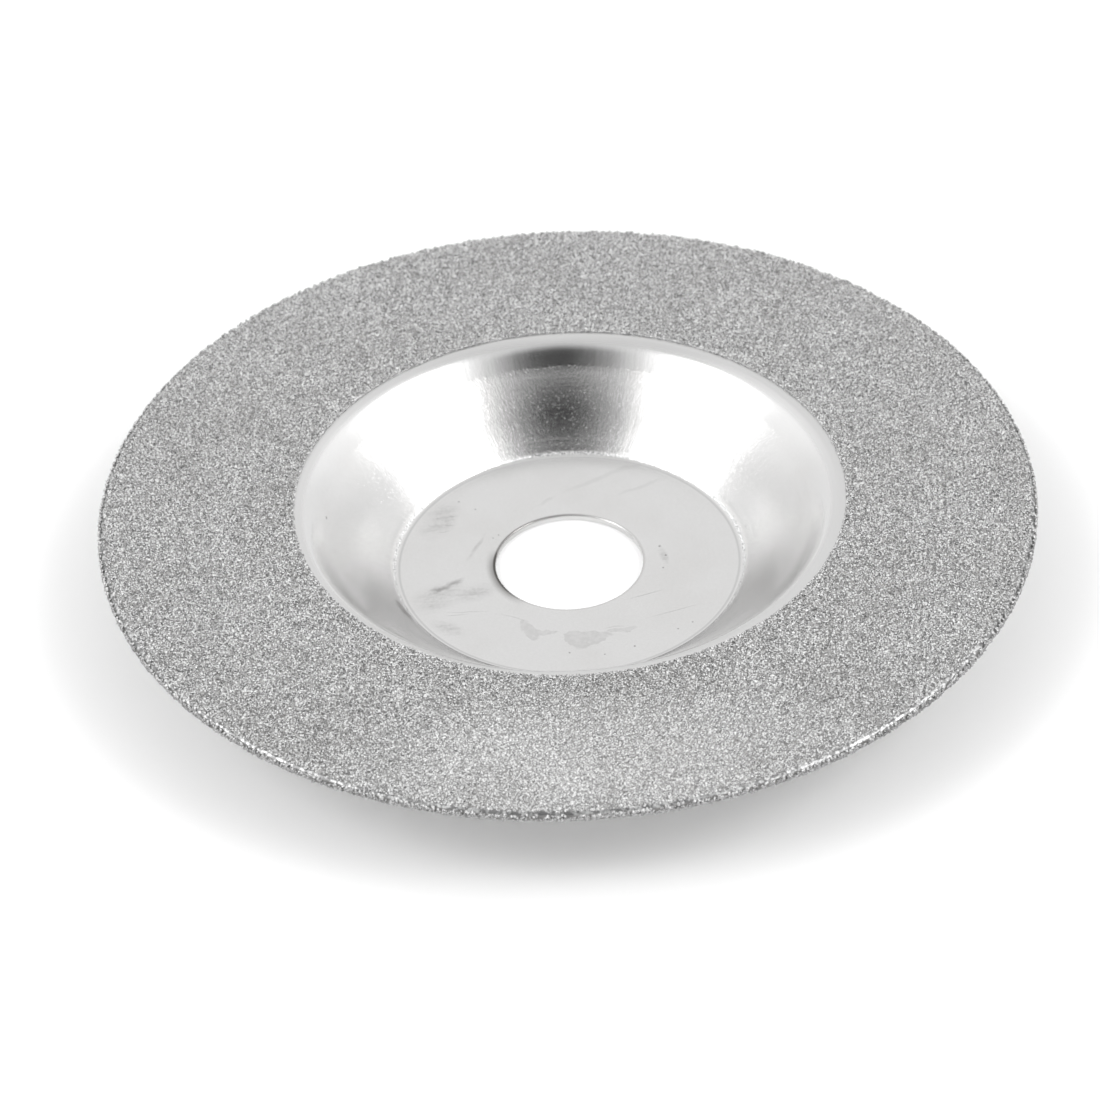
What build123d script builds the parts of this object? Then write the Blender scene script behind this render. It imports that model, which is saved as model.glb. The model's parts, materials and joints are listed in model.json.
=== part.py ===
from build123d import *

import math
import os

# Dished diamond grinding wheel for a 100 mm angle grinder, in millimetres.
#
# One sheet of steel is blanked, punched and pressed into a shallow dish: a flat floor that the
# grinder's flanges clamp, a conical wall, and a flat rim. The rim's working face and its outer
# edge then carry electroplated abrasive: nickel that holds one layer of diamond grains.
#
# Frame: +Z is the wheel's axis and points out of the dish, towards the work. The origin is the
# centre of the bore on the underside of the floor, where the grinder's inner flange seats.

# Driving dimensions
WHEEL_DIAMETER = 100.0  # over the grit on the rim's edge
BORE_DIAMETER = 16.0  # standard arbor of a 100 mm grinder
OVERALL_HEIGHT = 10.0  # underside of the floor to the tips of the grit
SHEET = 0.7  # steel gauge
WALL_ANGLE = 42.0  # slope of the dish wall above the floor, degrees
FLOOR_DIAMETER = 37.6  # where the floor and the wall would meet with no bend radius
FLOOR_BEND = 1.0  # inside radius of the bend from floor to wall
SHOULDER_BEND = 1.3  # outside radius of the bend from wall to rim
GRIT_INNER_DIAMETER = 59.1  # plating stops here, just outside the shoulder
BOND = 0.14  # nickel build-up on the steel
GRIT_PROUD = 0.10  # how far the grains stand out of the nickel
RIM_EDGE_ROLL = 0.2  # rounded corner that blanking leaves on the rim's working side
BORE_EDGE_ROLL = 0.15  # the same on the bore's mouth, inside the dish

# Sizes that follow from them
COATING = BOND + GRIT_PROUD
RIM_TOP = OVERALL_HEIGHT - COATING  # steel face of the rim
RIM_UNDERSIDE = RIM_TOP - SHEET
STEEL_RADIUS = WHEEL_DIAMETER / 2 - COATING
BORE_RADIUS = BORE_DIAMETER / 2
FLOOR_RADIUS = FLOOR_DIAMETER / 2
MOUTH_RADIUS = FLOOR_RADIUS + (RIM_TOP - SHEET) / math.tan(math.radians(WALL_ANGLE))
BEND_SHIFT = SHEET * math.tan(math.radians(WALL_ANGLE / 2))  # underside corner, outwards
GRIT_INNER_RADIUS = GRIT_INNER_DIAMETER / 2


def turned(corners):
    """A closed solid turned about the wheel's axis from (radius, height, corner radius) points."""
    outline = [(radius, height) for radius, height, _ in corners]
    section = make_face(Polyline(*outline, close=True))
    for radius, height, rounding in corners:
        if rounding:
            corner = section.vertices().sort_by_distance((radius, height, 0))[0]
            section = fillet(corner, rounding)
    return revolve(Plane.XZ * section, Axis.Z)


def pressed_disc():
    """Floor, conical wall and flat rim in one sheet of even thickness, with the bore punched."""
    return turned(
        [
            (BORE_RADIUS, 0, 0),
            (FLOOR_RADIUS + BEND_SHIFT, 0, FLOOR_BEND + SHEET),
            (MOUTH_RADIUS + BEND_SHIFT, RIM_UNDERSIDE, SHOULDER_BEND - SHEET),
            (STEEL_RADIUS, RIM_UNDERSIDE, 0),
            (STEEL_RADIUS, RIM_TOP, RIM_EDGE_ROLL),
            (MOUTH_RADIUS, RIM_TOP, SHOULDER_BEND),
            (FLOOR_RADIUS, SHEET, FLOOR_BEND),
            (BORE_RADIUS, SHEET, BORE_EDGE_ROLL),
        ]
    )


def rim_skin(inner, outer):
    """A skin over the rim's working face and edge, from inner to outer thickness above the steel."""
    return turned(
        [
            (GRIT_INNER_RADIUS, RIM_TOP + inner, 0),
            (STEEL_RADIUS + inner, RIM_TOP + inner, RIM_EDGE_ROLL + inner),
            (STEEL_RADIUS + inner, RIM_UNDERSIDE, 0),
            (STEEL_RADIUS + outer, RIM_UNDERSIDE, 0),
            (STEEL_RADIUS + outer, RIM_TOP + outer, RIM_EDGE_ROLL + outer),
            (GRIT_INNER_RADIUS, RIM_TOP + outer, 0),
        ]
    )


def nickel_bond():
    """Electroplated nickel that holds the diamonds, as an even skin."""
    return rim_skin(0, BOND)


def diamond_grit():
    """The layer of diamond tips above the nickel, as one even skin with the grains' outer shape."""
    return rim_skin(BOND, COATING)


os.makedirs("parts", exist_ok=True)
export_step(pressed_disc(), "parts/pressed_disc.step")
export_step(nickel_bond(), "parts/nickel_bond.step")
export_step(diamond_grit(), "parts/diamond_grit.step")
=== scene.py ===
"""Looks of the dished diamond grinding wheel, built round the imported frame.

Metres, with +Z along the wheel's axis out of the dish. The steel, the nickel and the diamonds each get
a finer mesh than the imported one, in the same place, and a procedural material. Inside the materials,
lengths are in millimetres.
"""

import functools
import json
import math

import bmesh
import bpy
import numpy as np
from mathutils import Matrix, Vector


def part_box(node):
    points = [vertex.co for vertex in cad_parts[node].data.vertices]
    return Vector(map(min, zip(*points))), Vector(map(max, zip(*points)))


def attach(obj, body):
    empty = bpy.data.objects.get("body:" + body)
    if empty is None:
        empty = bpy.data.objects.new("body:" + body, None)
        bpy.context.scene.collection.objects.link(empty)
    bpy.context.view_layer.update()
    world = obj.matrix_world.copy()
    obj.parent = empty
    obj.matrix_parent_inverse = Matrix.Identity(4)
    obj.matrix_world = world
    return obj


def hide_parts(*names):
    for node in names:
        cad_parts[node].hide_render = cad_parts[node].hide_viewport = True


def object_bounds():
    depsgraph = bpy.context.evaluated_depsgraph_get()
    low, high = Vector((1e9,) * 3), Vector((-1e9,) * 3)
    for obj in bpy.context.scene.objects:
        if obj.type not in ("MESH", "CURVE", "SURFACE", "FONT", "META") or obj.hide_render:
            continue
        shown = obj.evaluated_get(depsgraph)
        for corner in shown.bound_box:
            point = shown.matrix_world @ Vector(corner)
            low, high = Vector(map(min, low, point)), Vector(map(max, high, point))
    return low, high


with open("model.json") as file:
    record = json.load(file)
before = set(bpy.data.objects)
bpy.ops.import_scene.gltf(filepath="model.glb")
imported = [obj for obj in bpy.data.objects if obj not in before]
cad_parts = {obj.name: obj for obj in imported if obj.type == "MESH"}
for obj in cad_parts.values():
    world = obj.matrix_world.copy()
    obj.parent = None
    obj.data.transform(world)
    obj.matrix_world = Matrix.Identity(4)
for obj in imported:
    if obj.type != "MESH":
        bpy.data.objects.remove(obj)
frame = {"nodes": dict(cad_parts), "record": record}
cad_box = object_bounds()

MM = 0.001
SEED = 7

# Sizes read from the frame
MOUNTS = {mount["name"]: mount for mount in frame["record"]["mounts"]}
BORE_RADIUS = MOUNTS["arbor_bore"]["dims"]["r_mm"] * MM
SHEET = MOUNTS["outer_flange_seat"]["pos_m"][2]
STEEL_RADIUS = max(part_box("pressed_disc")[1].xy)
RIM_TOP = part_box("pressed_disc")[1].z
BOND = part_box("nickel_bond")[1].z - RIM_TOP
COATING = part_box("diamond_grit")[1].z - RIM_TOP
GRIT_INNER_RADIUS = min(v.co.xy.length for v in frame["nodes"]["nickel_bond"].data.vertices)

# Shape of the pressing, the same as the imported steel
WALL_ANGLE = math.radians(42)
FLOOR_RADIUS = 18.8 * MM
FLOOR_BEND = 1.0 * MM
SHOULDER_BEND = 1.3 * MM
RIM_EDGE_ROLL = 0.2 * MM
BORE_EDGE_ROLL = 0.15 * MM
RIM_UNDERSIDE = RIM_TOP - SHEET
MOUTH_RADIUS = FLOOR_RADIUS + (RIM_TOP - SHEET) / math.tan(WALL_ANGLE)
BEND_SHIFT = SHEET * math.tan(WALL_ANGLE / 2)

# How the pressed wall departs from a true cone: millimetres up its slope, and degrees steeper there
WALL_BOW = (
    (1.1, -1.7),
    (3.0, 0.8),
    (4.8, 2.2),
    (6.2, 1.0),
    (7.7, -0.6),
    (9.5, -2.2),
    (10.4, 1.2),
    (11.4, 1.8),
    (12.0, 1.0),
    (12.9, -8.0),
    (13.2, -20.0),
    (13.5, -15.0),
    (13.8, -2.0),
    (14.2, 0.0),
)
BOW_SAMPLES = 400
BOW_DRIFT = ((0.06, 2, 0.8), (0.04, 5, 0.0))  # of the bow round the wheel: mm up the slope, waves, phase
SIDE_DRIFT = 0.3  # more of it, in mm, on the wheel's two sides

# Fineness of the meshes. A step is the spacing of the points on a run of an outline.
STEEL_SEGMENTS = 400
BOND_SEGMENTS = 900
ARC_STEP = 0.1 * MM
PLAIN_STEP = 2 * MM  # where the surface is plain or hidden
BORE_STEP = 0.2 * MM
FLOOR_STEP = 0.4 * MM
WALL_STEP = 0.13 * MM
STEEL_EDGE_STEP = 0.3 * MM
BOND_EDGE_STEP = 0.2 * MM
BOND_FACE_STEP = 0.25 * MM
BOND_TAPER_STEP = 0.06 * MM
BOND_BACK_STEP = 4 * MM  # against the steel, where nothing shows
STEEL_CREASE = math.radians(40)  # edges sharper than this are shaded as creases
BOND_CREASE = math.radians(80)

# Nickel bond
BOND_TAPER = 0.3 * MM
BOND_TAPER_ROLL = 0.3 * MM
BOND_EDGE_ROLL = 0.62 * MM
HEAP = 0.022 * MM  # typical rise or fall of the nickel between grains
HEAP_LIMIT = 0.04 * MM
COATING_OFFSET = (0.36 * MM, 0.20 * MM)  # of the coating's inner edge; its outer edge is true

# Diamond grains
GRAIN_SPACING = 0.265 * MM
GRAIN_SIZE = (0.17 * MM, 0.28 * MM)
GRAIN_STRETCH = (0.82, 1.22)
GRAIN_SCATTER = 0.36  # of the spacing, off the even pattern
GRAIN_DEPTH_SCATTER = 0.02 * MM
LEAST_RISE = 0.2  # of a grain's size, from the steel to its middle
COATING_FEATHER = 0.35 * MM  # how far from its inner edge the coating is thinner
FEATHER_DEPTH = 0.4  # of the coating, lost right at its inner edge
EDGE_RISE = 0.15  # of the coating, by which the grains on the rim's edge stand further out
EDGE_GAP = 0.28 * MM  # in from the steel's radius, where the nickel shows bare
EDGE_CROWDING = 1.4  # grains on the rim's edge for each one at the even spacing
EDGE_START = 0.6  # of the way round the rim's rolled corner
EDGE_STOP = 0.4 * GRAIN_SIZE[0]  # above the rim's underside
ROW_SPACING = 0.62 * GRAIN_SPACING  # in the close row along the coating's inner edge
ROW_SCATTER = 0.3  # of the row's spacing
ROW_SHIFT = (0.01, 0.04)  # mm inwards
ROW_WIDTH = 0.12 * MM  # from the coating's inner edge, where the grains are smaller
ROW_GRAIN = 0.75  # of the other grains' size
CRYSTAL_KINDS = 24
CRYSTAL_CORNERS = 8
CRYSTAL_FACETS = 12  # triangles, when every corner is on the hull
CORNER_REACH = (0.70, 1.15)  # of a cube's corner, drawn in or out
CORNER_SHIFT = 0.07
GRIT_SECTORS = 6
# A facet's shade is a little its grain's own tone and mostly painted glint, standing in for reflections off
# the facet
GRAIN_SHARE = 0.1  # of a facet's shade; the rest is the facet's own
BAKE_MAP = "OFBake"  # the name of the UV map that the grains' colours are baked into
BAKE_REACH = 0.3  # of its square in that map, for one unit of a crystal

# Studio light. A patch of the sky is its side in degrees round from the camera, its rise in degrees above
# the floor, the degrees from its middle to where it starts to fade and to where it ends, and its
# radiance. Radiances are in units where 1 is the sky's even white.
SKY = 1.0
ZENITH_DIP = (0, 90, 10, 44, -0.22)  # added to the sky, as the side patches are
SIDE_PATCHES = (
    (105, 38, 12, 36, 0.20),  # a broad glow
    (80, 44, 5, 26, 1.0),  # the softbox's halo
    (80, 44, 2, 18, 3.8),  # the softbox
)
PHOTOGRAPHER = (0, 44, 4, 31, 0.02)  # dark, in place of the sky; the dish's far wall mirrors it

# A lamp in front, with its rise in degrees and its distance and width in metres
FRONT_RISE = 22
FRONT_DISTANCE = 0.25
FRONT_SIZE = 0.12
FRONT_RADIANCE = 0.8

# Tabletop
TABLE_SIZE = 4.0
# painted light: the tabletop glows a little, which lightens the shadows on it
TABLE_GLOW = 0.04

# Camera
CAMERA_AIM = (-2.0 * MM, -3.2 * MM, 5.0 * MM)
CAMERA_DISTANCE = 407.6 * MM
CAMERA_TILT = math.radians(39.09)
CAMERA_HEADING = math.radians(0.37)
CAMERA_ROLL = math.radians(-2.87)
CAMERA_LENS = 124.6  # focal length, mm
CAMERA_APERTURE = 54  # f-number
FOCUS = (0, -18 * MM, RIM_TOP)


# ---------------------------------------------------------------- meshes


def add_piece(name, points, faces, smooth_angle=None):
    """A mesh piece from arrays of points and of faces that all have the same number of corners."""
    mesh = bpy.data.meshes.new(name)
    mesh.vertices.add(len(points))
    mesh.vertices.foreach_set("co", points.astype(np.float32).ravel())
    mesh.loops.add(faces.size)
    mesh.loops.foreach_set("vertex_index", faces.astype(np.int32).ravel())
    mesh.polygons.add(len(faces))
    mesh.polygons.foreach_set("loop_start", np.arange(len(faces), dtype=np.int32) * faces.shape[1])
    mesh.update(calc_edges=True)
    if smooth_angle:
        mesh.shade_smooth()
        mesh.set_sharp_from_angle(angle=smooth_angle)
    piece = bpy.data.objects.new(name, mesh)
    bpy.context.scene.collection.objects.link(piece)
    return piece


def rounded_corner(here, back, ahead, rounding):
    """Points of the arc that rounds the corner at here. back and ahead point along its two sides."""
    if not rounding:
        return [here]
    half = back.angle(ahead) / 2
    centre = here + (back + ahead).normalized() * rounding / math.sin(half)
    start = here + back * rounding / math.tan(half) - centre
    turn = math.pi - 2 * half
    count = max(3, math.ceil(turn * rounding / ARC_STEP))
    direction = math.copysign(1, back.cross(ahead))
    return [centre + Matrix.Rotation(-direction * turn * i / count, 2) @ start for i in range(count + 1)]


def outline(corners):
    """A closed (radius, height) outline. A corner is (radius, height, rounding, spacing of the points
    on the run from it to the next corner)."""
    arcs = []
    for i, (radius, height, rounding, _) in enumerate(corners):
        here = Vector((radius, height))
        back = (Vector(corners[i - 1][:2]) - here).normalized()
        ahead = (Vector(corners[(i + 1) % len(corners)][:2]) - here).normalized()
        arcs.append(rounded_corner(here, back, ahead, rounding))
    points = []
    for i, arc in enumerate(arcs):
        run = arcs[(i + 1) % len(arcs)][0] - arc[-1]
        count = max(1, math.ceil(run.length / corners[i][3]))
        points += arc
        points += [arc[-1] + run * k / count for k in range(1, count)]
    return np.array([tuple(p) for p in points])


def outline_normals(points):
    """The outward direction at each point of a closed outline that runs clockwise round its section."""
    along = np.roll(points, -1, axis=0) - np.roll(points, 1, axis=0)
    along /= np.linalg.norm(along, axis=1)[:, None]
    return np.column_stack([along[:, 1], -along[:, 0]])


def round_axis(radius, height, angle):
    """Points at those radii, heights and angles about the wheel's axis."""
    return np.stack([radius * np.cos(angle), radius * np.sin(angle), height], axis=-1)


def turned(name, section, segments, swell, smooth_angle, move=None):
    """A closed piece turned about the wheel's axis. swell(radius, height, angle) moves each point out
    of the surface, along the section's normal, and move, if given, moves all the points afterwards."""
    normals = outline_normals(section)
    angle = np.arange(segments) * 2 * math.pi / segments
    radius = np.repeat(section[:, :1], segments, axis=1)
    height = np.repeat(section[:, 1:], segments, axis=1)
    out = swell(radius, height, angle[None, :])
    radius = radius + out * normals[:, :1]
    height = height + out * normals[:, 1:]
    points = round_axis(radius, height, angle)
    points = move(points) if move else points
    ring, step = np.meshgrid(np.arange(len(section)), np.arange(segments), indexing="ij")
    next_ring, next_step = (ring + 1) % len(section), (step + 1) % segments
    faces = np.stack(
        [
            ring * segments + step,
            ring * segments + next_step,
            next_ring * segments + next_step,
            next_ring * segments + step,
        ],
        axis=-1,
    )
    return add_piece(name, points.reshape(-1, 3), faces.reshape(-1, 4), smooth_angle)


def off_centre(points):
    """Points of the coating, moved so that its inner edge lies off centre and its outer edge stays."""
    radius = np.linalg.norm(points[..., :2], axis=-1, keepdims=True)
    share = ((STEEL_RADIUS - radius) / (STEEL_RADIUS - GRIT_INNER_RADIUS)).clip(0, 1)
    return points + share * np.array([*COATING_OFFSET, 0])


def stand_in(piece, node):
    """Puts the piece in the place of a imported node, on the wheel's one body."""
    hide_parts(node)
    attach(piece, "root")
    return piece


# ---------------------------------------------------------------- the pressed steel disc


def up_wall(radius, height):
    """How far up the wall's slope a point lies, from the wall's foot."""
    return (radius - FLOOR_RADIUS) * math.cos(WALL_ANGLE) + (height - SHEET) * math.sin(WALL_ANGLE)


def wall_bow(radius, height, angle):
    """How far the pressed wall stands off its cone. Its two faces shift together."""
    places, steeper = np.array(WALL_BOW).T
    up = np.linspace(places[0], places[-1], BOW_SAMPLES)
    slope = np.radians(np.interp(up, places, steeper))
    stands = np.cumsum(slope - slope.mean()) * (up[1] - up[0])
    drift = sum(reach * np.sin(waves * angle + phase) for reach, waves, phase in BOW_DRIFT)
    drift = drift + SIDE_DRIFT * np.abs(2 * np.cos(angle)).clip(0, 1)
    offset = np.interp(up_wall(radius, height) / MM + drift, up, stands, 0, 0) * MM
    upper_face = (radius - FLOOR_RADIUS) * math.tan(WALL_ANGLE) + SHEET
    middle = upper_face - 0.5 * SHEET / math.cos(WALL_ANGLE)
    return np.where(height < middle, -offset, offset)


def build_steel():
    """The blank: floor with its bore, conical wall, shoulder and flat rim, closed on all sides."""
    section = outline(
        [
            (BORE_RADIUS, 0, 0, PLAIN_STEP),
            (FLOOR_RADIUS + BEND_SHIFT, 0, FLOOR_BEND + SHEET, PLAIN_STEP),
            (MOUTH_RADIUS + BEND_SHIFT, RIM_UNDERSIDE, SHOULDER_BEND - SHEET, PLAIN_STEP),
            (STEEL_RADIUS, RIM_UNDERSIDE, 0, STEEL_EDGE_STEP),
            (STEEL_RADIUS, RIM_TOP, RIM_EDGE_ROLL, PLAIN_STEP),
            (MOUTH_RADIUS, RIM_TOP, SHOULDER_BEND, WALL_STEP),
            (FLOOR_RADIUS, SHEET, FLOOR_BEND, FLOOR_STEP),
            (BORE_RADIUS, SHEET, BORE_EDGE_ROLL, BORE_STEP),
        ]
    )
    piece = turned("pressed_disc_steel", section, STEEL_SEGMENTS, wall_bow, STEEL_CREASE)
    return stand_in(piece, "pressed_disc")


# ---------------------------------------------------------------- the nickel bond


def build_bond(rng):
    """Nickel over the rim's face and edge, heaped unevenly between the grains."""
    section = outline(
        [
            (STEEL_RADIUS, RIM_TOP, RIM_EDGE_ROLL, PLAIN_STEP),
            (STEEL_RADIUS, RIM_UNDERSIDE, 0, BOND_EDGE_STEP),
            (STEEL_RADIUS + BOND, RIM_UNDERSIDE, 0, BOND_EDGE_STEP),
            (STEEL_RADIUS + BOND, RIM_TOP + BOND, BOND_EDGE_ROLL, BOND_FACE_STEP),
            (GRIT_INNER_RADIUS + BOND_TAPER, RIM_TOP + BOND, BOND_TAPER_ROLL, BOND_TAPER_STEP),
            (GRIT_INNER_RADIUS, RIM_TOP, 0, BOND_BACK_STEP),
        ]
    )

    def heaps(radius, height, angle):
        clear = 0.3 * BOND  # further off the steel than this is the bond's outer face
        outside = (height > RIM_TOP + clear) | (radius > STEEL_RADIUS + clear)
        heap = rng.normal(0, HEAP, np.broadcast(radius, angle).shape).clip(-HEAP_LIMIT, HEAP_LIMIT)
        return heap * outside

    piece = turned("nickel_bond_layer", section, BOND_SEGMENTS, heaps, BOND_CREASE, off_centre)
    return stand_in(piece, "nickel_bond")


# ---------------------------------------------------------------- the diamond grains


def crystals(rng):
    """Convex crystals of about unit size: blocks with every corner drawn in or out at random.
    Returns their points, (kind, corner, 3), and their triangles, (kind, facet, 3)."""
    block = np.array([(x, y, z) for x in (-1, 1) for y in (-1, 1) for z in (-1, 1)]) * 0.5
    points, triangles = [], []
    while len(points) < CRYSTAL_KINDS:
        corners = block * rng.uniform(*CORNER_REACH, (CRYSTAL_CORNERS, 1))
        corners = corners + rng.normal(0, CORNER_SHIFT, (CRYSTAL_CORNERS, 3))
        hull = bmesh.new()
        for corner in corners:
            hull.verts.new(corner)
        bmesh.ops.convex_hull(hull, input=hull.verts)
        bmesh.ops.triangulate(hull, faces=hull.faces)
        hull.verts.index_update()
        sides = [[v.index for v in face.verts] for face in hull.faces]
        hull.free()
        if len(sides) == CRYSTAL_FACETS:
            points.append(corners)
            triangles.append(sides)
    return np.array(points), np.array(triangles)


def random_turns(rng, count):
    """Rotation matrices spread evenly over all directions, from random unit quaternions."""
    w, x, y, z = rng.normal(size=(4, count))
    size = np.sqrt(w * w + x * x + y * y + z * z)
    w, x, y, z = w / size, x / size, y / size, z / size
    rows = [
        [1 - 2 * (y * y + z * z), 2 * (x * y - z * w), 2 * (x * z + y * w)],
        [2 * (x * y + z * w), 1 - 2 * (x * x + z * z), 2 * (y * z - x * w)],
        [2 * (x * z - y * w), 2 * (y * z + x * w), 1 - 2 * (x * x + y * y)],
    ]
    return np.moveaxis(np.array(rows), 2, 0)


def face_places(rng):
    """Places for the grains on the rim's face: a sunflower spiral, which spaces points evenly with no
    rows, then a random shift of each point, and a close row along the inner edge. Returns the steel's
    radius and height there, the angle, and how far the steel's face leans outwards from level."""
    inner = GRIT_INNER_RADIUS + 0.5 * GRAIN_SIZE[0]
    outer = STEEL_RADIUS - EDGE_GAP
    count = round(math.pi * (outer**2 - inner**2) / GRAIN_SPACING**2)
    order = (np.arange(count) + 0.5) / count
    radius = np.sqrt(inner**2 + order * (outer**2 - inner**2))
    angle = np.arange(count) * math.pi * (3 - math.sqrt(5))
    radius = radius + rng.uniform(-GRAIN_SCATTER, GRAIN_SCATTER, count) * GRAIN_SPACING
    radius = radius.clip(inner, outer)
    angle = angle + rng.uniform(-GRAIN_SCATTER, GRAIN_SCATTER, count) * GRAIN_SPACING / radius
    row = round(2 * math.pi * inner / ROW_SPACING)
    radius = np.concatenate([radius, inner - rng.uniform(*ROW_SHIFT, row) * MM])
    steps = np.arange(row) + rng.uniform(-ROW_SCATTER, ROW_SCATTER, row)
    angle = np.concatenate([angle, steps * 2 * math.pi / row])
    height = np.full(len(radius), RIM_TOP)
    lean = np.zeros(len(radius))
    return radius, height, angle, lean


def edge_places(rng):
    """Places for the grains round the rim's rounded edge, from part way down its roll to its underside.
    Returns the same as face_places."""
    roll = 0.5 * math.pi * RIM_EDGE_ROLL
    drop = SHEET - RIM_EDGE_ROLL
    count = round(2 * math.pi * STEEL_RADIUS * (roll + drop) / GRAIN_SPACING**2 * EDGE_CROWDING)
    along = rng.uniform(EDGE_START * roll, roll + drop - EDGE_STOP, count)
    angle = rng.uniform(0, 2 * math.pi, count)
    lean = np.minimum(along / RIM_EDGE_ROLL, 0.5 * math.pi)
    radius = STEEL_RADIUS - RIM_EDGE_ROLL * (1 - np.sin(lean))
    height = RIM_TOP - RIM_EDGE_ROLL * (1 - np.cos(lean)) - np.maximum(along - roll, 0)
    return radius, height, angle, lean


def stand_off(rng, size, radius, lean):
    """How far each grain's middle stands off the steel. The layer thins out at its inner edge."""
    rise = COATING - 0.5 * size + rng.normal(0, GRAIN_DEPTH_SCATTER, len(size))
    thinning = (1 - (radius - GRIT_INNER_RADIUS) / COATING_FEATHER).clip(0, 1)
    rise = rise - FEATHER_DEPTH * COATING * thinning + EDGE_RISE * COATING * (lean > 0)
    return rise.clip(LEAST_RISE * size, None)


def build_grit(rng):
    """One layer of separate grains on the rim's face and edge, in sectors so that each mesh stays small."""
    kinds, sides = crystals(rng)
    radius, height, angle, lean = (np.concatenate(pair) for pair in zip(face_places(rng), edge_places(rng)))
    count = len(radius)
    size = rng.uniform(*GRAIN_SIZE, count) * np.where(radius < GRIT_INNER_RADIUS + ROW_WIDTH, ROW_GRAIN, 1)
    stretch = rng.uniform(*GRAIN_STRETCH, (count, 1, 3))
    out = stand_off(rng, size, radius, lean)
    centre = off_centre(round_axis(radius + out * np.sin(lean), height + out * np.cos(lean), angle))
    kind = rng.integers(CRYSTAL_KINDS, size=count)
    local = np.einsum("nij,nkj->nki", random_turns(rng, count), kinds[kind] * stretch)
    points = local * size[:, None, None] + centre[:, None, :]
    # Painted reflection: each facet's own random share of its shade stands in for glints off the facets
    grain_shade = rng.uniform(0, 1, (count, 1))
    shade = grain_shade * GRAIN_SHARE + rng.uniform(0, 1, (count, CRYSTAL_FACETS)) * (1 - GRAIN_SHARE)
    sector = ((angle / (2 * math.pi)) % 1 * GRIT_SECTORS).astype(int)
    pieces = []
    for i in range(GRIT_SECTORS):
        mine = sector == i
        name = f"diamond_grit_sector_{i + 1}"
        pieces.append(build_sector(name, points[mine], local[mine], sides[kind[mine]], shade[mine]))
    return pieces


def build_sector(name, points, local, sides, shade):
    """One mesh piece from its grains' points in place, their points at unit size about the grain's own
    middle, their triangles and the shade of each triangle."""
    faces = sides + CRYSTAL_CORNERS * np.arange(len(points))[:, None, None]
    piece = add_piece(name, points.reshape(-1, 3), faces.reshape(-1, 3))
    attribute = piece.data.attributes.new("shade", "FLOAT", "FACE")
    attribute.data.foreach_set("value", shade.astype(np.float32).ravel())
    map_grains(piece.data, local, faces)
    return stand_in(piece, "diamond_grit")


def map_grains(mesh, local, faces):
    """A UV map that gives each grain its own small square, so that a baked grain keeps its own shade."""
    side = math.ceil(math.sqrt(len(local)))
    row, column = np.divmod(np.arange(len(local)), side)
    inside = 0.5 + BAKE_REACH * local[:, :, :2].clip(-1, 1)
    corner = np.stack([column, row], axis=-1)[:, None, :] + inside
    uv = (corner / side).reshape(-1, 2)[faces.reshape(-1)]
    mesh.uv_layers.new(name=BAKE_MAP).data.foreach_set("uv", uv.astype(np.float32).ravel())


# ---------------------------------------------------------------- materials


# Places on the steel, as radii in millimetres. A pair is where something is absent and where it is full.
PUNCH_GROOVE = 18.45
PUNCH_RING = 18.98  # burnished by the punch's corner
WALL_FOOT = (18.9, 19.4)
FOOT_LINE = 19.5
FOOT_RIDGE = 20.15
MID_WALL = 24.0
DRAWN_ARCS = 25.2
UPPER_DENTS = 26.2
DRAW_LINE = 26.25  # the wall is stretched and rough below it
SHOULDER = (28.0, 28.6)
WALL_HEAD = (28.8, 28.4)
DEEP_DENTS = (25.0, 23.8)
DULL_FOOT = (19.0, 19.8)
DULL_HEAD = (26.5, 22.0)
# The wall is paler towards its head: partly its smoother finish above the draw line, partly painted light
PALE_HEAD = (25.8, 27.6)

DENT_CELLS_PER_MM = 4.2

# Marks seen from above. Each is x, y, half length and half width in millimetres, then its turn in degrees.
# Painted light: within this patch over the front of the rim, the grit is drawn lighter
FRONT_GRIT_LIGHT = (2.0, -42.0, 30.0, 12.0, 0)
SMEARS = ((-12.6, -2.8, 1.7, 0.55, 31), (-13.9, -3.7, 1.6, 0.75, 26))
STAINS = (
    (-4.6, -11.3, 2.0, 0.80, -66),
    (-3.0, -11.7, 1.6, 0.45, -8),
    (1.8, -12.3, 2.9, 0.60, -6),
    (0.3, -13.3, 1.9, 1.0, -50),
    (2.3, -13.2, 1.8, 0.9, 35),
    (1.2, -13.3, 1.3, 0.9, 0),
    (5.3, -11.8, 1.8, 0.38, 8),
)
HAZE = (
    (-14.2, -5.0, 4.4, 2.8, 35),
    (-10.5, -4.6, 3.8, 1.8, 20),
    (-15.0, -6.2, 1.6, 1.1, -62),
    (-14.0, 8.2, 4.4, 2.4, 62),
    (-13.3, -10.3, 2.8, 1.4, -31),
    (10.2, 0.2, 2.1, 0.6, -81),
    (-10.1, 3.2, 3.1, 0.4, 65),
)
RUBS = (
    (3.3, 14.1, 5.2, 0.55, 30),
    (8.3, 12.5, 4.4, 0.45, 27),
    (-2.2, 10.8, 1.8, 0.30, 36),
    (6.9, 16.0, 2.4, 0.6, 24),
)
TIDE_LINES = ((-11.3, -7.7, 3.1, 0.09, -1), (-6.1, -9.0, 2.5, 0.09, -30), (4.5, -11.4, 1.6, 0.09, 4))
SCRATCHES = ((8.0, -6.2, 2.5, 0.06, 19), (11.0, -9.1, 3.7, 0.045, 18.6), (-12.3, -8.2, 1.6, 0.04, 4))
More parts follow.
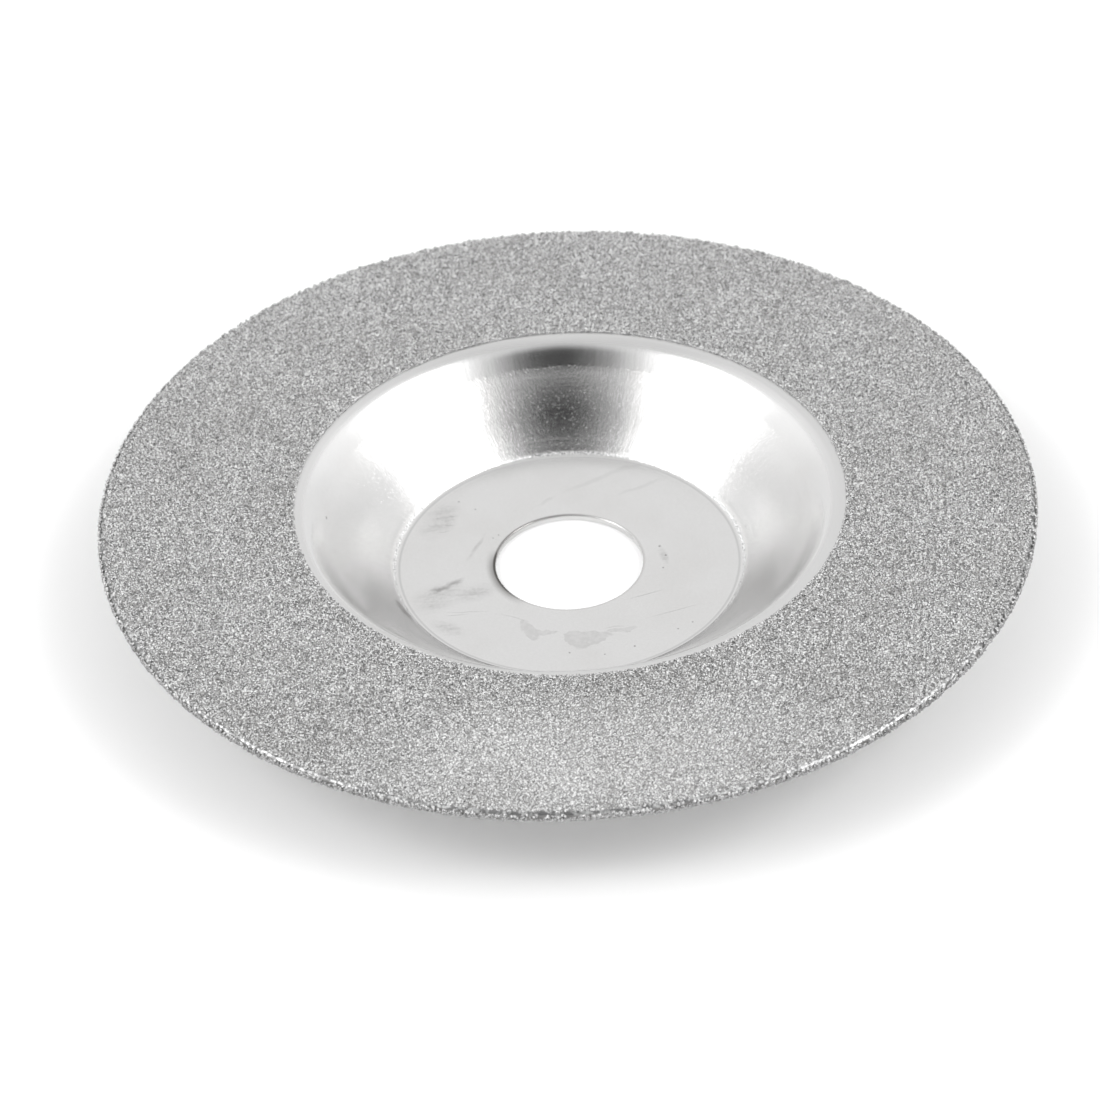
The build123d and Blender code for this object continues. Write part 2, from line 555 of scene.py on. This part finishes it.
WALL_MARKS = (
    (-17.8, -7.9, 2.4, 0.60, -60),
    (-18.4, -6.7, 0.9, 0.40, -60),
    (18.2, 6.1, 0.12, 0.12, 0),
    (18.3, 5.2, 0.12, 0.12, 0),
    (18.1, 7.4, 0.10, 0.10, 0),
    (19.4, 3.6, 0.14, 0.14, 0),
    (-25.9, 1.2, 0.30, 0.16, 80),
    (-24.9, -3.8, 0.14, 0.14, 0),
)

# A row of short strokes, each x, y and half length, and specks, each x, y and radius
STROKES = ((-12.5, 8.7, 0.9), (-12.9, 8.0, 0.8), (-14.2, 8.3, 0.8), (-13.0, 7.1, 0.7), (-13.8, 6.1, 1.0))
STROKE_WIDTH = 0.13
STROKE_TURN = 8
SPECKS = (
    (6.5, -14.6, 0.17),
    (11.2, -12.1, 0.13),
    (3.3, -15.7, 0.12),
    (-0.4, -15.2, 0.15),
    (12.8, -11.1, 0.13),
    (10.1, -1.8, 0.15),
    (9.9, 1.9, 0.2),
    (10.5, 0.3, 0.18),
    (-11.9, 11.3, 0.15),
    (-10.1, 9.8, 0.13),
    (-8.2, 4.6, 0.12),
    (-7.6, 5.1, 0.12),
)

# Directions from the axis to where the darkening round the bore is heaviest
BORE_HALO_TOWARD = (-0.955, -0.297, 0)
BORE_LINE_TOWARD = (-0.88, 0.475, 0)


class Graph:
    """Adds and links shader nodes, one call for each node."""

    def __init__(self, owner):
        owner.use_nodes = True
        self.tree = owner.node_tree
        self.tree.nodes.clear()

    def add(self, kind, inputs=(), **settings):
        node = self.tree.nodes.new("ShaderNode" + kind)
        for name, value in settings.items():
            setattr(node, name, value)
        for name, value in dict(inputs).items():
            if isinstance(value, bpy.types.NodeSocket):
                self.tree.links.new(value, node.inputs[name])
            else:
                node.inputs[name].default_value = value
        return node

    def math(self, operation, *values):
        return self.add("Math", dict(enumerate(values)), operation=operation).outputs[0]

    def total(self, *values):
        return functools.reduce(lambda a, b: self.math("ADD", a, b), values)

    def product(self, *values):
        return functools.reduce(lambda a, b: self.math("MULTIPLY", a, b), values)

    def ramp(self, value, low, high, to_low=0.0, to_high=1.0):
        """Maps value from low..high to to_low..to_high, with soft ends. low may be above high."""
        inputs = {"Value": value, "From Min": low, "From Max": high, "To Min": to_low, "To Max": to_high}
        return self.add("MapRange", inputs, interpolation_type="SMOOTHSTEP").outputs["Result"]

    def noise(self, place, scale, detail=2.0, roughness=0.5):
        """Soft noise from 0 to 1, with about scale features to each unit of place."""
        inputs = {"Vector": place, "Scale": scale, "Detail": detail, "Roughness": roughness}
        return self.add("TexNoise", inputs).outputs["Fac"]

    def warp(self, place, scale, reach):
        """The place pushed about by noise, so that what is drawn there has a ragged outline."""
        shift = self.add("TexNoise", {"Vector": place, "Scale": scale, "Detail": 4.0}).outputs["Color"]
        shift = self.add("VectorMath", {0: shift, 1: (0.5, 0.5, 0.5)}, operation="SUBTRACT").outputs[0]
        shift = self.add("VectorMath", {0: shift, "Scale": 2 * reach}, operation="SCALE").outputs[0]
        return self.add("VectorMath", {0: place, 1: shift}, operation="ADD").outputs[0]

    def mix(self, share, a, b):
        """Colour a, with that share of colour b mixed in."""
        node = self.add("Mix", data_type="RGBA")  # its colours are inputs 6 and 7, and output 2
        for socket, value in ((node.inputs[0], share), (node.inputs[6], a), (node.inputs[7], b)):
            if isinstance(value, bpy.types.NodeSocket):
                self.tree.links.new(value, socket)
            else:
                socket.default_value = value
        return node.outputs[2]

    def mark(self, place, x, y, length, width, turn):
        """Distance from a long mark, seen from above: 0 at its middle and 1 round its outline."""
        any_height = 1e6
        placed = {
            "Vector": place,
            "Location": (x, y, 0),
            "Rotation": (0, 0, math.radians(turn)),
            "Scale": (length, width, any_height),
        }
        local = self.add("Mapping", placed, vector_type="TEXTURE").outputs[0]
        return self.add("VectorMath", {0: local}, operation="LENGTH").outputs["Value"]

    def marks(self, place, marks, soft):
        """1 inside any of the marks, fading to 0 over the outer share, soft, of each."""
        nearest = functools.reduce(
            lambda a, b: self.math("MINIMUM", a, b), [self.mark(place, *mark) for mark in marks]
        )
        return self.ramp(nearest, 1.0, 1.0 - soft)

    def line(self, value, at, half_width):
        """1 where value is at, fading to 0 half_width away from it."""
        return self.ramp(self.math("ABSOLUTE", self.math("SUBTRACT", value, at)), half_width, 0.0)

    def bump(self, micrometres):
        """The surface's direction where it rises by that height."""
        inputs = {"Height": micrometres, "Strength": 1.0, "Distance": 0.001 * MM}
        return self.add("Bump", inputs).outputs[0]

    def surface(self, shader):
        self.tree.links.new(shader.outputs[0], self.add("OutputMaterial").inputs["Surface"])


def material(name):
    made = bpy.data.materials.new(name)
    return made, Graph(made)


def grey(level, warmth=0.0):
    return (level * (1 + warmth), level, level * (1 - warmth), 1.0)


def millimetres(g):
    """The surface point in millimetres in the wheel's frame."""
    point = g.add("TexCoord").outputs["Object"]
    return g.add("VectorMath", {0: point, "Scale": 1000.0}, operation="SCALE").outputs[0]


def polar(g, point):
    """The point's radius and height in millimetres, and its direction from the axis as a unit vector."""
    x, y, height = g.add("SeparateXYZ", {0: point}).outputs
    flat = g.add("CombineXYZ", {0: x, 1: y}).outputs[0]
    radius = g.add("VectorMath", {0: flat}, operation="LENGTH").outputs["Value"]
    return radius, height, g.add("VectorMath", {0: flat}, operation="NORMALIZE").outputs[0]


def streaks(g, radius, way, across, along, detail=2.0, roughness=0.5):
    """Noise drawn out along the radius, with features across by along, in millimetres at mid-wall."""
    round_it = g.add("VectorMath", {0: way, "Scale": MID_WALL / across}, operation="SCALE").outputs[0]
    outward = g.add("CombineXYZ", {2: g.math("DIVIDE", radius, along)}).outputs[0]
    place = g.add("VectorMath", {0: round_it, 1: outward}, operation="ADD").outputs[0]
    return g.noise(place, 1.0, detail, roughness)


def dimples(g, point):
    """Small round dents scattered over the steel: 1 in the middle of each, 0 elsewhere. About half of the
    cells that the steel is divided into have one."""
    cells = g.add("TexVoronoi", {"Vector": point, "Scale": DENT_CELLS_PER_MM}).outputs
    dented = g.ramp(g.add("SeparateXYZ", {0: cells["Color"]}).outputs[0], 0.45, 0.5)
    return g.product(g.ramp(cells["Distance"], 0.38, 0.0), dented)


def bore_darkening(g, radius, way):
    """Darker round the bore's upper edge: a halo on one side, and a thin line all round."""

    def toward(direction, low, least=0.0):
        """1 in that direction from the axis, falling to least where the angle off it has that low cosine."""
        along = g.add("VectorMath", {0: way, 1: direction}, operation="DOT_PRODUCT").outputs["Value"]
        return g.ramp(along, low, 1.0, least, 1.0)

    bore = BORE_RADIUS / MM
    halo = g.product(g.ramp(radius, bore + 1.3, bore), toward(BORE_HALO_TOWARD, 0.78), 0.75)
    line = g.product(g.line(radius, bore + 0.12, 0.24), toward(BORE_LINE_TOWARD, 0.0, 0.25), 0.75)
    return g.total(halo, line)


def dish_marks(g, point):
    """How far smears, stains, scratches, specks and dirt darken the inside of the dish, from 0 to 1."""
    radius, height, way = polar(g, point)
    ragged = g.warp(point, 1.3, 0.55)
    soft = g.warp(point, 0.5, 0.5)
    patchy = g.ramp(g.noise(point, 0.9, detail=4.0, roughness=0.65), 0.35, 0.62)
    stained = g.ramp(patchy, 0, 1, 0.16, 0.09)
    drawn_out = g.add("VectorMath", {0: point, 1: (0.35, 1.6, 1.0)}, operation="MULTIPLY").outputs[0]
    wiped = g.ramp(g.noise(drawn_out, 0.8, detail=4.0, roughness=0.65), 0.40, 0.62)
    speckled = g.ramp(g.noise(point, 2.6, detail=4.0, roughness=0.7), 0.36, 0.64, 0.05, 0.15)
    hazed = g.total(g.product(wiped, 0.13), speckled)
    strokes = [(x, y, length, STROKE_WIDTH, STROKE_TURN) for x, y, length in STROKES]
    specks = [(x, y, size, size, 0) for x, y, size in SPECKS]
    kinds = (
        # where it is drawn, the marks, the share of each that fades, how far it darkens
        (ragged, SMEARS, 0.9, 0.42),
        (ragged, STAINS, 0.22, stained),
        (soft, HAZE, 0.95, hazed),
        (soft, RUBS, 0.8, 0.07),
        (soft, TIDE_LINES, 0.8, 0.16),
        (point, SCRATCHES, 0.7, 0.34),
        (ragged, strokes, 0.8, 0.16),
        (point, specks, 0.6, 0.5),
    )
    drawn = [g.product(g.marks(place, marks, soft_share), dark) for place, marks, soft_share, dark in kinds]
    upper_face = g.ramp(height, 0.3, 0.6)
    on_floor = g.ramp(height, 1.4, 1.0)
    floor = g.product(g.total(*drawn, bore_darkening(g, radius, way)), upper_face, on_floor)
    wall = g.product(g.marks(g.warp(point, 1.3, 0.25), WALL_MARKS, 0.8), g.ramp(height, 0.7, 1.0), 0.5)
    return g.total(floor, wall)


def cloud(g, point):
    """Broad faint clouding of the steel."""
    return g.noise(point, 0.12, detail=3.0, roughness=0.55)


def punched(g, point):
    """The ring that the punch burnished, and its sparkle."""
    return g.line(polar(g, point)[0], PUNCH_RING, 0.28), g.noise(point, 6.0, roughness=0.6)


def steel_relief(g, point):
    """The steel's fine relief in micrometres: orange peel, dents and streaks down the wall, a ridge where
    its stretched part ends, and the punched ring."""
    radius, _, way = polar(g, point)
    wobble = g.noise(g.warp(point, 0.4, 1.0), 0.25)
    wandering = g.math("ADD", radius, g.ramp(wobble, 0.3, 0.7, -0.06, 0.06))
    above_foot = g.ramp(radius, *WALL_FOOT)
    stretched = g.product(g.ramp(wandering, DRAW_LINE + 0.1, DRAW_LINE - 0.1), above_foot)
    wall = g.product(above_foot, g.ramp(radius, *WALL_HEAD))
    peel = streaks(g, radius, way, across=0.17, along=0.29, detail=3.0, roughness=0.78)
    arcs = streaks(g, radius, way, across=5.0, along=0.22)
    fine_streaks = streaks(g, radius, way, across=0.10, along=1.8)
    broad_streaks = streaks(g, radius, way, across=1.1, along=7.0)
    dents = dimples(g, point)
    broken = g.ramp(g.noise(point, 2.0), 0.48, 0.58)
    punch_ring, glitter = punched(g, point)
    return g.total(
        g.product(g.math("SUBTRACT", peel, 0.5), g.ramp(stretched, 0, 1, 1.5, 18.0)),
        g.product(arcs, g.line(radius, DRAWN_ARCS, 1.4), 6.0),
        g.product(dents, wall, g.ramp(radius, *DEEP_DENTS, -3.0, -12.0)),
        g.product(dents, g.line(radius, UPPER_DENTS, 0.4), -12.0),
        g.product(fine_streaks, g.ramp(wall, 0, 1, 0.2, 4.0)),
        g.product(broad_streaks, wall, 8.0),
        g.product(g.line(wandering, DRAW_LINE, 0.2), broken, -4.0),
        g.product(g.line(radius, FOOT_RIDGE, 0.18), 4.0),
        g.product(glitter, punch_ring, 45.0),
    )


def steel_colour(g, point):
    """The steel's tint: clouded and grained, dull on the lower wall and pale near its head, partly from a
    smoother finish and partly as painted light, with the punched ring, the shoulder and the handling marks."""
    radius = polar(g, point)[0]
    grain = g.ramp(g.noise(point, 4.0), 0.3, 0.7, 0.0, 0.10)
    dull = g.product(g.ramp(radius, *DULL_FOOT), g.ramp(radius, *DULL_HEAD))
    pale = g.ramp(radius, *PALE_HEAD)
    punch_ring, glitter = punched(g, point)
    sparkle = g.mix(g.ramp(glitter, 0.40, 0.58), grey(0.50), grey(0.98))
    colour = g.mix(g.ramp(cloud(g, point), 0.35, 0.75), grey(0.715, 0.004), grey(0.69, 0.008))
    colour = g.mix(grain, colour, grey(0.5, 0.01))
    colour = g.mix(g.product(dull, 0.30), colour, grey(0.40))
    # painted light in part: the upper wall is mixed paler
    colour = g.mix(g.product(pale, 0.40), colour, grey(0.80))
    colour = g.mix(punch_ring, colour, sparkle)
    colour = g.mix(g.product(g.line(radius, PUNCH_GROOVE, 0.22), 0.5), colour, grey(0.45))
    colour = g.mix(g.product(g.line(radius, FOOT_LINE, 0.3), 0.15), colour, grey(0.40))
    colour = g.mix(g.ramp(radius, *SHOULDER), colour, grey(0.67, 0.004))
    return g.mix(dish_marks(g, point), colour, grey(0.10, 0.06))


def bright_steel():
    """Cold-rolled steel, pressed: satin, and rougher on the punched ring and the shoulder."""
    made, g = material("bright_steel_pressed")
    point = millimetres(g)
    roughness = g.total(
        g.ramp(cloud(g, point), 0.3, 0.7, 0.14, 0.20),
        g.product(punched(g, point)[0], 0.08),
        g.product(g.ramp(polar(g, point)[0], *SHOULDER), 0.18),
    )
    inputs = {
        "Base Color": steel_colour(g, point),
        "Metallic": 1.0,
        "Specular Tint": grey(0.97),
        "Roughness": roughness,
        "Normal": g.bump(steel_relief(g, point)),
    }
    g.surface(g.add("BsdfPrincipled", inputs))
    return made


def shaded_rim_edge(g, height):
    """Where shade is painted on the rim's outer edge: 1 there, fading to 0 just below its face."""
    top = RIM_TOP / MM
    return g.ramp(height, top - 0.04, top - 0.20)


def plated_nickel():
    """Dull electroplated nickel: mottled and pitted, bright where it thins out at its inner edge, and bright
    in a broken line along the rim's corner, partly worn and partly a painted highlight. Its outer edge is
    painted dark, as shade."""
    made, g = material("nickel_electroplate")
    point = millimetres(g)
    radius, height, _ = polar(g, point)
    offset = (COATING_OFFSET[0] / MM, COATING_OFFSET[1] / MM, 0)
    shifted = g.add("VectorMath", {0: point, 1: offset}, operation="SUBTRACT").outputs[0]
    inner_edge, rim_edge = GRIT_INNER_RADIUS / MM, STEEL_RADIUS / MM
    mottle = g.ramp(g.noise(point, 0.09, detail=3.0, roughness=0.6), 0.35, 0.65)
    thin = g.ramp(polar(g, shifted)[0], inner_edge + 0.30, inner_edge + 0.10)
    # The broken bright line along the rim's corner: partly worn nickel, partly a painted highlight
    corner = g.ramp(radius, rim_edge - 0.45, rim_edge - 0.30)
    worn_and_highlit = g.mix(g.ramp(g.noise(point, 2.2), 0.44, 0.58), grey(0.24), grey(0.62))
    pits = g.ramp(g.noise(point, 1.3, detail=3.0), 0.50, 0.56, 0.0, 0.35)
    spots = g.noise(point, 5.0, roughness=0.6)
    colour = g.mix(mottle, grey(0.44, 0.01), grey(0.38, 0.02))
    colour = g.mix(thin, colour, grey(0.72))
    colour = g.mix(corner, colour, worn_and_highlit)
    colour = g.mix(pits, colour, grey(0.12))
    # painted shade: the nickel on the rim's outer edge is darkened
    colour = g.mix(shaded_rim_edge(g, height), colour, grey(0.20, 0.02))
    inputs = {
        "Base Color": colour,
        "Metallic": 1.0,
        "Roughness": g.ramp(spots, 0.2, 0.8, 0.28, 0.5),
        "Normal": g.bump(g.product(spots, 18.0)),
    }
    g.surface(g.add("BsdfPrincipled", inputs))
    return made


def diamond():
    """Grey synthetic diamond, glassy on its facets, each with its own shade: a little of it the diamond's
    own tone, most of it painted glints. It is soiled in broad patches, painted lighter over the front of the
    rim, and painted dark on the rim's edge as shade."""
    made, g = material("diamond_grain")
    point = millimetres(g)
    shade = g.add("Attribute", attribute_name="shade").outputs["Fac"]
    fine_speckle = g.ramp(g.noise(point, 7.0, detail=1.0), 0.3, 0.7, -0.3, 0.3)
    front_light = g.marks(point, (FRONT_GRIT_LIGHT,), 0.8)
    rim_edge = shaded_rim_edge(g, polar(g, point)[1])
    soiled = g.ramp(g.noise(point, 0.09, detail=3.0, roughness=0.6), 0.35, 0.70, 0.0, 0.15)
    # painted glints: each facet's shade, with fine speckle, sets the tone of the facet
    colour = g.mix(g.ramp(g.total(shade, fine_speckle), 0.08, 0.92), grey(0.03, 0.01), grey(0.83))
    # painted light: the grit over the front of the rim is mixed towards white
    colour = g.mix(g.product(front_light, 0.30), colour, grey(0.95))
    # painted shade: the grains on the rim's outer edge are darkened
    colour = g.mix(g.product(rim_edge, 0.40), colour, grey(0.03))
    colour = g.mix(soiled, colour, grey(0.20, 0.03))
    inputs = {"Base Color": colour, "Metallic": 0.0, "Roughness": 0.15, "IOR": 2.4}
    g.surface(g.add("BsdfPrincipled", inputs))
    return made


def pale_floor():
    """Pale tabletop with a little painted glow, as if lit from below, which lightens the shadows on it."""
    made, g = material("pale_floor")
    tone = g.noise(g.add("TexCoord").outputs["Object"], 3.0)
    colour = g.mix(tone, grey(0.90), grey(0.92))
    inputs = {
        "Base Color": colour,
        "Roughness": 0.9,
        "Emission Color": grey(1.0),
        "Emission Strength": TABLE_GLOW,
    }
    g.surface(g.add("BsdfPrincipled", inputs))
    return made


# ---------------------------------------------------------------- studio


def add_floor():
    """The tabletop the wheel rests on."""
    bpy.ops.mesh.primitive_plane_add(size=TABLE_SIZE, location=(0, 0, cad_box[0].z))
    floor = bpy.context.object
    floor.name = "floor"
    floor.data.materials.append(pale_floor())


def direction(side, rise):
    """A unit vector side degrees round from the camera's direction and rise degrees above the floor."""
    turn, lift = math.radians(side), math.radians(rise)
    return Vector((math.sin(turn) * math.cos(lift), -math.cos(turn) * math.cos(lift), math.sin(lift)))


def add_sky():
    """A white room with a softbox on each side, dimmer overhead, and dark where the photographer stands."""
    world = bpy.data.worlds.new("studio")
    bpy.context.scene.world = world
    g = Graph(world)
    way = g.add("TexCoord").outputs["Generated"]

    def patch(side, rise, inner, outer):
        """1 within inner degrees of a direction, falling to 0 at outer degrees."""
        toward = {0: way, 1: direction(side, rise)}
        nearness = g.add("VectorMath", toward, operation="DOT_PRODUCT").outputs["Value"]
        return g.ramp(nearness, math.cos(math.radians(outer)), math.cos(math.radians(inner)))

    *zenith, dip = ZENITH_DIP
    level = g.math("ADD", SKY, g.product(patch(*zenith), dip))
    for turn in (-1, 1):
        for side, rise, inner, outer, radiance in SIDE_PATCHES:
            level = g.total(level, g.product(patch(turn * side, rise, inner, outer), radiance))
    *photographer, darkness = PHOTOGRAPHER
    level = g.mix(patch(*photographer), level, grey(darkness))
    shader = g.add("Background", {"Color": level, "Strength": 1.0})
    g.tree.links.new(shader.outputs[0], g.add("OutputWorld").inputs["Surface"])


def add_softbox(name, side, rise, distance, size, radiance):
    """A square soft light aimed at the wheel."""
    light = bpy.data.lights.new(name, "AREA")
    light.shape = "SQUARE"
    light.size = size
    light.energy = 4 * size**2 * radiance  # Blender divides a lamp's energy by four times its area
    lamp = bpy.data.objects.new(name, light)
    way = direction(side, rise)
    lamp.location = way * distance
    lamp.rotation_euler = way.to_track_quat("Z", "Y").to_euler()
    bpy.context.scene.collection.objects.link(lamp)


def add_camera():
    """A long lens, looking down into the dish, rolled a little. It focuses on the near half of the wheel,
    so the far half is slightly soft."""
    camera = bpy.data.cameras.new("camera")
    camera.lens = CAMERA_LENS
    camera.clip_start = 0.01
    camera.clip_end = 20
    holder = bpy.data.objects.new("camera", camera)
    turn = (
        Matrix.Rotation(CAMERA_HEADING, 4, "Z")
        @ Matrix.Rotation(math.pi / 2 - CAMERA_TILT, 4, "X")
        @ Matrix.Rotation(CAMERA_ROLL, 4, "Z")
    )
    back = turn.to_3x3() @ Vector((0, 0, 1))
    holder.matrix_world = Matrix.Translation(Vector(CAMERA_AIM) + back * CAMERA_DISTANCE) @ turn
    focus = bpy.data.objects.new("focus", None)
    focus.location = FOCUS
    for made in (holder, focus):
        bpy.context.scene.collection.objects.link(made)
    camera.dof.use_dof = True
    camera.dof.focus_object = focus
    camera.dof.aperture_fstop = CAMERA_APERTURE
    bpy.context.scene.camera = holder


rng = np.random.default_rng(SEED)
build_steel().data.materials.append(bright_steel())
build_bond(rng).data.materials.append(plated_nickel())
diamond_material = diamond()
for sector in build_grit(rng):
    sector.data.materials.append(diamond_material)

add_floor()
add_sky()
add_softbox("front_fill", 0, FRONT_RISE, FRONT_DISTANCE, FRONT_SIZE, FRONT_RADIANCE)
add_camera()
bpy.context.scene.view_settings.view_transform = "Standard"
